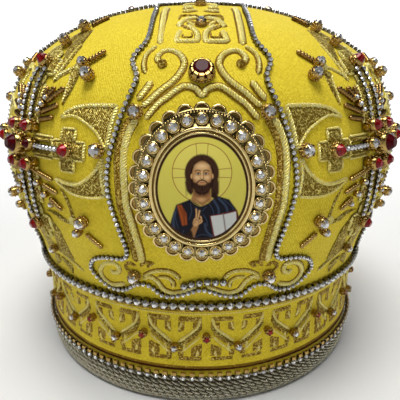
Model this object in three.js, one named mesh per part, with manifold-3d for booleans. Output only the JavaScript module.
// Bishop mitre: a stiff velvet crown on a head band, edged with strings of set stones,
// with four oval picture plates and, between them, four raised gold crosses.
// Millimetres, +Z up. The rim rests on z = 0 and the axis of the mitre is the Z axis.
import * as THREE from 'three';
import { mergeVertices } from 'three/addons/utils/BufferGeometryUtils.js';
import Module from 'manifold-3d';

const wasm = await Module();
wasm.setup();

// Driving sizes of the velvet shell
const BAND_HEIGHT = 58.5;
const BAND_RADIUS = 100.4;
const CROWN_HEIGHT = 141.2;
const CROWN_RADIUS = 114.8;
const SHELL_WALL = 3;
const FIT_GAP = 0.35;

// Driving sizes of the trims
const BRAID_HEIGHT = 15;
const BRAID_THICKNESS = 4;
const BRAID_RECESS = 2;
const RIM_STRING_RADIUS = 1.9;
const JUNCTION_STRING_RADIUS = 2.3;
const PANEL_STRING_RADIUS = 1.35;
const LATTICE_RIB_WIDTH = 3;
const LATTICE_RIB_HEIGHT = 1.4;
const LATTICE_PEAK_HEIGHT = 43;
const LATTICE_VALLEY_HEIGHT = 33;
const LATTICE_PEAKS = 20;

// Driving sizes of the picture panels
const PLATE_HALF_WIDTH = 18.4;
const PLATE_HALF_HEIGHT = 22;
const PLATE_THICKNESS = 1.6;
const PLATE_DOME = 0.7;
const FRAME_WIDTH = 11.6;
const FRAME_THICKNESS = 3.6;
const CREST_STONE_RADIUS = 4.2;
const KNOT_STONE_RADIUS = 2.6;
const PANEL_STONE_RADIUS = 2.8;

// Driving sizes of the crosses
const CROSS_HALF_HEIGHT = 41;
const CROSS_HALF_WIDTH = 38;
const CROSS_ARM_WIDTH = 10;
const CROSS_THICKNESS = 3.4;
const CROSS_BAR_LENGTH = 18;
const CROSS_BAR_WIDTH = 8;
const CROSS_SQUARE = 24;
const CROSS_STONE_RADIUS = 3.4;
const CROSS_HEART_RADIUS = 5.6;

// Fineness of the faceted solids
const RING_STEPS = 40;
const TOP_STRING_STEPS = 16;
const PANEL_STRING_STEPS = 42;
const STRING_SIDES = 8;
const STONE_SIDES = 8;
const GIRDLE_SHARE = 0.45;
const TABLE_SHARE = 1.05;
const TABLE_RADIUS_SHARE = 0.55;
const PLATE_STEPS = 14;
const FRAME_STEPS = 28;
const SLAB_STEP = 14;
const STONE_OVERLAP = 0.05;
const CURVE_DIVISIONS = 600;
const WELD_DISTANCE = 1e-4;

// Places on the crown: share of the way from the junction to the top, along the velvet
const ICON_RISE = 0.281;
const CROSS_RISE = 0.34;

// Place on the band: degrees from the front to the lattice's first peak
const LATTICE_TURN = 1.4;

// Outline of the band's velvet: share of its height above the braid, share of its radius
const bandRows = [
  { up: 0, out: 1.004 },
  { up: 0.3, out: 1.001 },
  { up: 0.55, out: 0.996 },
  { up: 0.8, out: 1.003 },
  { up: 1, out: 1.016 },
];

// Outline of the crown: share of its height, share of its largest radius
const crownRows = [
  { up: 0, out: 0.888 },
  { up: 0.106, out: 0.919 },
  { up: 0.231, out: 0.97 },
  { up: 0.341, out: 0.996 },
  { up: 0.45, out: 1 },
  { up: 0.559, out: 0.983 },
  { up: 0.686, out: 0.937 },
  { up: 0.79, out: 0.84 },
  { up: 0.868, out: 0.707 },
  { up: 0.924, out: 0.56 },
  { up: 0.962, out: 0.405 },
  { up: 0.987, out: 0.245 },
  { up: 1, out: 0 },
];

// Half the route of a panel string, from the foot of the panel to the top string:
// degrees round the crown from the panel's middle, share of the way up the velvet
const panelRoute = [
  { turn: 0, rise: 0.043 },
  { turn: 5.5, rise: 0.027 },
  { turn: 10, rise: 0.023 },
  { turn: 13.5, rise: 0.047 },
  { turn: 17, rise: 0.046 },
  { turn: 21, rise: 0.024 },
  { turn: 26, rise: 0.026 },
  { turn: 30.2, rise: 0.06 },
  { turn: 28.5, rise: 0.094 },
  { turn: 24, rise: 0.112 },
  { turn: 19, rise: 0.117 },
  { turn: 17.4, rise: 0.14 },
  { turn: 18.2, rise: 0.19 },
  { turn: 19.6, rise: 0.25 },
  { turn: 19.9, rise: 0.3 },
  { turn: 18.8, rise: 0.355 },
  { turn: 17, rise: 0.41 },
  { turn: 15.2, rise: 0.455 },
  { turn: 14.7, rise: 0.488 },
  { turn: 16.8, rise: 0.526 },
  { turn: 15, rise: 0.573 },
  { turn: 15.8, rise: 0.62 },
  { turn: 18.5, rise: 0.68 },
  { turn: 23, rise: 0.745 },
  { turn: 31, rise: 0.8 },
  { turn: 39, rise: 0.84 },
  { turn: 41.5, rise: 0.862 },
];

// Main stones of a panel: place as above, radius and colour
const panelStones = [
  { name: 'crest_stone', turn: 0, rise: 0.511, radius: CREST_STONE_RADIUS, red: true },
  { name: 'knot_stone', turn: 0, rise: 0.655, radius: KNOT_STONE_RADIUS, red: false },
  { name: 'top_stone', turn: 0, rise: 0.815, radius: KNOT_STONE_RADIUS, red: true },
  { name: 'left_shoulder_stone', turn: -13.7, rise: 0.418, radius: PANEL_STONE_RADIUS, red: false },
  { name: 'right_shoulder_stone', turn: 13.7, rise: 0.418, radius: PANEL_STONE_RADIUS, red: false },
  { name: 'left_foot_stone', turn: -17, rise: 0.078, radius: PANEL_STONE_RADIUS, red: false },
  { name: 'right_foot_stone', turn: 17, rise: 0.078, radius: PANEL_STONE_RADIUS, red: false },
];

const panelTurns = { front: 0, right: 90, back: 180, left: 270 };
const crossTurns = { front_right: 45, back_right: 135, back_left: 225, front_left: 315 };

const velvet = new THREE.MeshStandardMaterial({ color: 0xe8d52c, roughness: 0.85, metalness: 0 });
const goldThread = new THREE.MeshStandardMaterial({ color: 0xb5922e, roughness: 0.45, metalness: 0.6 });
const gilt = new THREE.MeshStandardMaterial({ color: 0xd9b355, roughness: 0.25, metalness: 1 });
const silverString = new THREE.MeshStandardMaterial({ color: 0xc9ccd0, roughness: 0.2, metalness: 0.8 });
const braidThread = new THREE.MeshStandardMaterial({ color: 0x8d8a6c, roughness: 0.4, metalness: 0.7 });
const clearStone = new THREE.MeshStandardMaterial({ color: 0xe4ecf2, roughness: 0.05, metalness: 0.1 });
const redStone = new THREE.MeshStandardMaterial({ color: 0x8c0f16, roughness: 0.08, metalness: 0.1 });
const enamel = new THREE.MeshStandardMaterial({ color: 0xc9b565, roughness: 0.3, metalness: 0.1 });

// Outline curves: x is the radius, y the height above the rim
function outline(rows, radius, height, foot) {
  const line = new THREE.SplineCurve(
    rows.map((row) => new THREE.Vector2(row.out * radius, foot + row.up * height)),
  );
  line.arcLengthDivisions = CURVE_DIVISIONS;
  return line;
}

const crownFoot = BAND_HEIGHT + FIT_GAP;
const velvetFoot = BRAID_HEIGHT + FIT_GAP;
const braidSeat = BAND_RADIUS - BRAID_RECESS;
const bandLine = outline(bandRows, BAND_RADIUS, BAND_HEIGHT - velvetFoot, velvetFoot);
const crownLine = outline(crownRows, CROWN_RADIUS, CROWN_HEIGHT, crownFoot);

// The top string lies just inside the upper ends of the panel strings
const topStringRise = panelRoute.at(-1).rise
  + (2 * PANEL_STRING_RADIUS + FIT_GAP) / crownLine.getLength();

// A point on an outline, moved out of the velvet by lift
function offsetPoint(line, rise, lift) {
  const point = line.getPointAt(THREE.MathUtils.clamp(rise, 0, 1));
  const along = line.getTangentAt(THREE.MathUtils.clamp(rise, 0, 1));
  return new THREE.Vector2(point.x + along.y * lift, point.y - along.x * lift);
}

function onVelvet(line, turn, rise, lift) {
  const place = offsetPoint(line, rise, lift);
  const angle = THREE.MathUtils.degToRad(turn);
  return new THREE.Vector3(place.x * Math.sin(angle), -place.x * Math.cos(angle), place.y);
}

// Lays a piece that is drawn flat (x across, y up the velvet, z outwards) on the outline
function layOn(line, geometry, turn, rise) {
  const length = line.getLength();
  const places = geometry.getAttribute('position');
  for (let i = 0; i < places.count; i += 1) {
    const pointRise = rise + places.getY(i) / length;
    const radius = offsetPoint(line, pointRise, 0).x;
    const across = THREE.MathUtils.radToDeg(places.getX(i) / radius);
    const point = onVelvet(line, turn + across, pointRise, places.getZ(i));
    places.setXYZ(i, point.x, point.y, point.z);
  }
  return geometry;
}

// Closed solids for joining, and back to a geometry with flat faces
function toSolid(geometry) {
  const bare = geometry.clone();
  bare.deleteAttribute('normal');
  bare.deleteAttribute('uv');
  const merged = mergeVertices(bare, WELD_DISTANCE);
  const faces = [];
  const index = merged.getIndex().array;
  for (let i = 0; i < index.length; i += 3) {
    const [a, b, c] = index.slice(i, i + 3);
    if (a !== b && b !== c && c !== a) {
      faces.push(a, b, c);
    }
  }
  const vertProperties = new Float32Array(merged.getAttribute('position').array);
  const mesh = new wasm.Mesh({ numProp: 3, vertProperties, triVerts: new Uint32Array(faces) });
  return new wasm.Manifold(mesh);
}

function toGeometry(solid) {
  const mesh = solid.getMesh();
  const geometry = new THREE.BufferGeometry();
  geometry.setAttribute('position', new THREE.BufferAttribute(mesh.vertProperties, 3));
  geometry.setIndex(new THREE.BufferAttribute(mesh.triVerts, 1));
  const flat = geometry.toNonIndexed();
  flat.computeVertexNormals();
  return flat;
}

function joined(geometries) {
  const solids = geometries.map(toSolid);
  return toGeometry(solids.reduce((whole, next) => whole.add(next)));
}

// A profile of [radius, height] corners turned round the Z axis
function turned(corners, steps) {
  const lathe = new THREE.LatheGeometry(corners.map(([x, y]) => new THREE.Vector2(x, y)), steps);
  return lathe.rotateX(Math.PI / 2);
}

// A ring of round section, as a closed profile turned round the axis
function ring(turnRadius, height, sectionRadius, steps) {
  const corners = [];
  for (let side = 0; side <= STRING_SIDES; side += 1) {
    const angle = (2 * Math.PI * side) / STRING_SIDES;
    corners.push([turnRadius + sectionRadius * Math.cos(angle), height + sectionRadius * Math.sin(angle)]);
  }
  return turned(corners, steps);
}

// Corners along an outline, moved out of the velvet by lift
function cornersAlong(line, rises, lift) {
  return rises.map((rise) => offsetPoint(line, rise, lift).toArray());
}

// Band: straight and flat-footed behind the braid, velvet above it
function bandGeometry() {
  const outside = cornersAlong(bandLine, bandRows.map((row) => row.up), 0);
  const inside = cornersAlong(bandLine, [1, 0.5], -SHELL_WALL);
  inside[0][1] = BAND_HEIGHT;
  const corners = [
    [braidSeat, 0],
    [braidSeat, velvetFoot],
    ...outside,
    ...inside,
    [braidSeat - SHELL_WALL, velvetFoot - SHELL_WALL],
    [braidSeat - SHELL_WALL, 0],
    [braidSeat, 0],
  ];
  return turned(corners, RING_STEPS);
}

// Where the crown's faces meet on the way up, closer together where it curves most
const crownCuts = [0, 0.1, 0.19, 0.26, 0.33, 0.385, 0.44, 0.495, 0.55, 0.605, 0.66, 0.72, 0.78, 0.85, 0.92, 1];
const liningCuts = [1, 0.83, 0.7, 0.58, 0.46, 0.34, 0.19, 0];

function crownGeometry() {
  const outside = cornersAlong(crownLine, crownCuts, 0);
  const inside = cornersAlong(crownLine, liningCuts, -SHELL_WALL);
  inside.at(-1)[1] = crownFoot;
  inside[0][0] = 0;
  outside.at(-1)[0] = 0;
  return turned([...inside, ...outside], RING_STEPS);
}

// Woven braid: flat against the band, bulging outwards
function braidGeometry() {
  const back = braidSeat + FIT_GAP;
  const bulge = [
    { up: 0.04, out: 0.6 },
    { up: 0.3, out: 0.9 },
    { up: 0.6, out: 1 },
    { up: 0.88, out: 0.8 },
    { up: 1, out: 0.4 },
  ];
  const front = bulge.map((row) => [
    back + row.out * BRAID_THICKNESS,
    FIT_GAP + row.up * (BRAID_HEIGHT - FIT_GAP),
  ]);
  return turned([...front, [back, BRAID_HEIGHT], [back, FIT_GAP], front[0]], RING_STEPS);
}

// String of stones laid round the mitre at one height of an outline
function ringOn(line, rise, sectionRadius, steps) {
  const centre = offsetPoint(line, rise, sectionRadius + FIT_GAP);
  return ring(centre.x, centre.y, sectionRadius, steps);
}

// Cut stone: cone below the girdle, eight facets, flat table
function stoneGeometry(radius) {
  const corners = [
    [0, 0],
    [radius, radius * GIRDLE_SHARE],
    [radius * TABLE_RADIUS_SHARE, radius * TABLE_SHARE],
    [0, radius * TABLE_SHARE],
  ];
  return turned(corners, STONE_SIDES);
}

// Lines that cut a slab into cells no longer than SLAB_STEP
function cutLines(edges) {
  const sorted = [...new Set(edges)].sort((a, b) => a - b);
  const lines = [sorted[0]];
  for (let i = 1; i < sorted.length; i += 1) {
    const start = sorted[i - 1];
    const parts = Math.ceil((sorted[i] - start) / SLAB_STEP);
    for (let part = 1; part <= parts; part += 1) {
      lines.push(start + ((sorted[i] - start) * part) / parts);
    }
  }
  return lines;
}

// One flat slab over several rectangles { x, y, width, height }, which may overlap
function slabGeometry(rectangles, base, top) {
  const xs = cutLines(rectangles.flatMap((r) => [r.x - r.width / 2, r.x + r.width / 2]));
  const ys = cutLines(rectangles.flatMap((r) => [r.y - r.height / 2, r.y + r.height / 2]));
  const filled = (i, j) => {
    if (i < 0 || j < 0 || i >= xs.length - 1 || j >= ys.length - 1) {
      return false;
    }
    const x = (xs[i] + xs[i + 1]) / 2;
    const y = (ys[j] + ys[j + 1]) / 2;
    return rectangles.some((r) => Math.abs(x - r.x) < r.width / 2 && Math.abs(y - r.y) < r.height / 2);
  };
  const positions = [];
  const quad = (a, b, c, d) => positions.push(...a, ...b, ...c, ...a, ...c, ...d);
  for (let i = 0; i < xs.length - 1; i += 1) {
    for (let j = 0; j < ys.length - 1; j += 1) {
      if (filled(i, j)) {
        const [west, east, south, north] = [xs[i], xs[i + 1], ys[j], ys[j + 1]];
        quad([west, south, top], [east, south, top], [east, north, top], [west, north, top]);
        quad([west, north, base], [east, north, base], [east, south, base], [west, south, base]);
        const walls = [
          { open: !filled(i, j - 1), from: [west, south], to: [east, south] },
          { open: !filled(i + 1, j), from: [east, south], to: [east, north] },
          { open: !filled(i, j + 1), from: [east, north], to: [west, north] },
          { open: !filled(i - 1, j), from: [west, north], to: [west, south] },
        ];
        for (const wall of walls.filter((side) => side.open)) {
          quad([...wall.from, base], [...wall.to, base], [...wall.to, top], [...wall.from, top]);
        }
      }
    }
  }
  const geometry = new THREE.BufferGeometry();
  geometry.setAttribute('position', new THREE.Float32BufferAttribute(positions, 3));
  return geometry;
}

// Cross with a barred end on each arm, a square at its heart and five stones
function crossGeometry(turn) {
  const seat = FIT_GAP + CROSS_THICKNESS;
  const barAcross = CROSS_HALF_WIDTH - CROSS_BAR_WIDTH;
  const barUp = CROSS_HALF_HEIGHT - CROSS_BAR_WIDTH;
  const rectangles = [
    { x: 0, y: 0, width: CROSS_ARM_WIDTH, height: 2 * CROSS_HALF_HEIGHT },
    { x: 0, y: 0, width: 2 * CROSS_HALF_WIDTH, height: CROSS_ARM_WIDTH },
    { x: 0, y: 0, width: CROSS_SQUARE, height: CROSS_SQUARE },
  ];
  const stones = [{ x: 0, y: 0, radius: CROSS_HEART_RADIUS }];
  for (const side of [-1, 1]) {
    rectangles.push({ x: side * barAcross, y: 0, width: CROSS_BAR_WIDTH, height: CROSS_BAR_LENGTH });
    rectangles.push({ x: 0, y: side * barUp, width: CROSS_BAR_LENGTH, height: CROSS_BAR_WIDTH });
    stones.push({ x: side * barAcross, y: 0, radius: CROSS_STONE_RADIUS });
    stones.push({ x: 0, y: side * barUp, radius: CROSS_STONE_RADIUS });
  }
  const slab = slabGeometry(rectangles, FIT_GAP, seat);
  const set = stones.map((stone) => {
    const sink = stone.radius * (GIRDLE_SHARE + STONE_OVERLAP);
    return stoneGeometry(stone.radius).translate(stone.x, stone.y, seat - sink);
  });
  return joined([slab, ...set].map((piece) => layOn(crownLine, piece, turn, CROSS_RISE)));
}

// Oval piece: rows of how far outside the plate's edge and how high above the velvet
function ovalGeometry(rows, steps, turn) {
  const lathe = turned(rows.map((row) => [PLATE_HALF_WIDTH + row.out, row.lift]), steps);
  const places = lathe.getAttribute('position');
  for (let i = 0; i < places.count; i += 1) {
    const radius = Math.max(Math.hypot(places.getX(i), places.getY(i)), WELD_DISTANCE);
    const taller = (PLATE_HALF_HEIGHT - PLATE_HALF_WIDTH) * Math.min(1, radius / PLATE_HALF_WIDTH);
    places.setY(i, places.getY(i) * (1 + taller / radius));
  }
  return layOn(crownLine, lathe, turn, ICON_RISE);
}

function plateGeometry(turn) {
  const top = FIT_GAP + PLATE_THICKNESS;
  const rows = [
    { out: -PLATE_HALF_WIDTH, lift: FIT_GAP },
    { out: -PLATE_HALF_WIDTH / 2, lift: FIT_GAP },
    { out: 0, lift: FIT_GAP },
    { out: 0, lift: top },
    { out: -PLATE_HALF_WIDTH / 2, lift: top + 0.75 * PLATE_DOME },
    { out: -PLATE_HALF_WIDTH, lift: top + PLATE_DOME },
  ];
  return ovalGeometry(rows, PLATE_STEPS, turn);
}

function frameGeometry(turn) {
  const rows = [
    { out: FIT_GAP, lift: FIT_GAP },
    { out: FRAME_WIDTH, lift: FIT_GAP },
    { out: FRAME_WIDTH, lift: FIT_GAP + FRAME_THICKNESS * 0.4 },
    { out: FRAME_WIDTH * 0.75, lift: FIT_GAP + FRAME_THICKNESS },
    { out: FIT_GAP, lift: FIT_GAP + FRAME_THICKNESS },
    { out: FIT_GAP, lift: FIT_GAP },
  ];
  return ovalGeometry(rows, FRAME_STEPS, turn);
}

function stringGeometry(points, radius, steps) {
  const section = new THREE.Shape();
  for (let side = 0; side < STRING_SIDES; side += 1) {
    const angle = (2 * Math.PI * side) / STRING_SIDES;
    const corner = [radius * Math.cos(angle), radius * Math.sin(angle)];
    if (side === 0) {
      section.moveTo(...corner);
    } else {
      section.lineTo(...corner);
    }
  }
  const extrudePath = new THREE.CatmullRomCurve3(points, false, 'centripetal');
  return new THREE.ExtrudeGeometry(section, { steps, extrudePath, bevelEnabled: false });
}

function panelStringGeometry(turn) {
  const lift = PANEL_STRING_RADIUS + FIT_GAP;
  const rightHalf = panelRoute.map((row) => onVelvet(crownLine, turn + row.turn, row.rise, lift));
  const leftHalf = panelRoute.slice(1).map((row) => onVelvet(crownLine, turn - row.turn, row.rise, lift));
  return stringGeometry([...leftHalf.reverse(), ...rightHalf], PANEL_STRING_RADIUS, PANEL_STRING_STEPS);
}

// The rim string lies on the braid's upper edge, against the band
function rimStringGeometry() {
  const height = BRAID_HEIGHT + FIT_GAP + RIM_STRING_RADIUS;
  const velvetRadius = Math.max(bandRows[0].out, bandRows[1].out) * BAND_RADIUS;
  return ring(velvetRadius + FIT_GAP + RIM_STRING_RADIUS, height, RIM_STRING_RADIUS, RING_STEPS);
}

// Zigzag rib of the band: flat strip between peaks and valleys, closed round the band
function latticeGeometry() {
  const corners = 2 * LATTICE_PEAKS;
  const positions = [];
  const faces = [];
  for (let corner = 0; corner < corners; corner += 1) {
    const height = corner % 2 === 0 ? LATTICE_PEAK_HEIGHT : LATTICE_VALLEY_HEIGHT;
    const turn = LATTICE_TURN + (corner * 360) / corners;
    const low = (height - velvetFoot - LATTICE_RIB_WIDTH / 2) / (BAND_HEIGHT - velvetFoot);
    const high = (height - velvetFoot + LATTICE_RIB_WIDTH / 2) / (BAND_HEIGHT - velvetFoot);
    for (const [rise, lift] of [
      [low, FIT_GAP],
      [high, FIT_GAP],
      [high, FIT_GAP + LATTICE_RIB_HEIGHT],
      [low, FIT_GAP + LATTICE_RIB_HEIGHT],
    ]) {
      positions.push(...onVelvet(bandLine, turn, rise, lift).toArray());
    }
    const here = corner * 4;
    const next = ((corner + 1) % corners) * 4;
    for (let side = 0; side < 4; side += 1) {
      const other = (side + 1) % 4;
      faces.push(here + side, here + other, next + other);
      faces.push(here + side, next + other, next + side);
    }
  }
  const geometry = new THREE.BufferGeometry();
  geometry.setAttribute('position', new THREE.Float32BufferAttribute(positions, 3));
  geometry.setIndex(faces);
  geometry.computeVertexNormals();
  return geometry;
}

const mitre = new THREE.Group();

function addPiece(name, geometry, material) {
  const piece = new THREE.Mesh(geometry, material);
  piece.name = name;
  mitre.add(piece);
}

addPiece('crown', crownGeometry(), velvet);
addPiece('head_band', bandGeometry(), velvet);
addPiece('rim_braid', braidGeometry(), braidThread);
addPiece('rim_string', rimStringGeometry(), silverString);
addPiece('junction_string', ringOn(crownLine, 0, JUNCTION_STRING_RADIUS, RING_STEPS), silverString);
addPiece('top_string', ringOn(crownLine, topStringRise, PANEL_STRING_RADIUS, TOP_STRING_STEPS), silverString);
addPiece('band_lattice', latticeGeometry(), goldThread);

for (const [side, turn] of Object.entries(panelTurns)) {
  addPiece(`panel_string_${side}`, panelStringGeometry(turn), silverString);
  addPiece(`icon_frame_${side}`, frameGeometry(turn), gilt);
  addPiece(`icon_plate_${side}`, plateGeometry(turn), enamel);
  for (const stone of panelStones) {
    const geometry = stoneGeometry(stone.radius).translate(0, 0, FIT_GAP);
    const place = layOn(crownLine, geometry, turn + stone.turn, stone.rise);
    addPiece(`${stone.name}_${side}`, place, stone.red ? redStone : clearStone);
  }
}

for (const [side, turn] of Object.entries(crossTurns)) {
  addPiece(`cross_${side}`, crossGeometry(turn), gilt);
}

export default mitre;
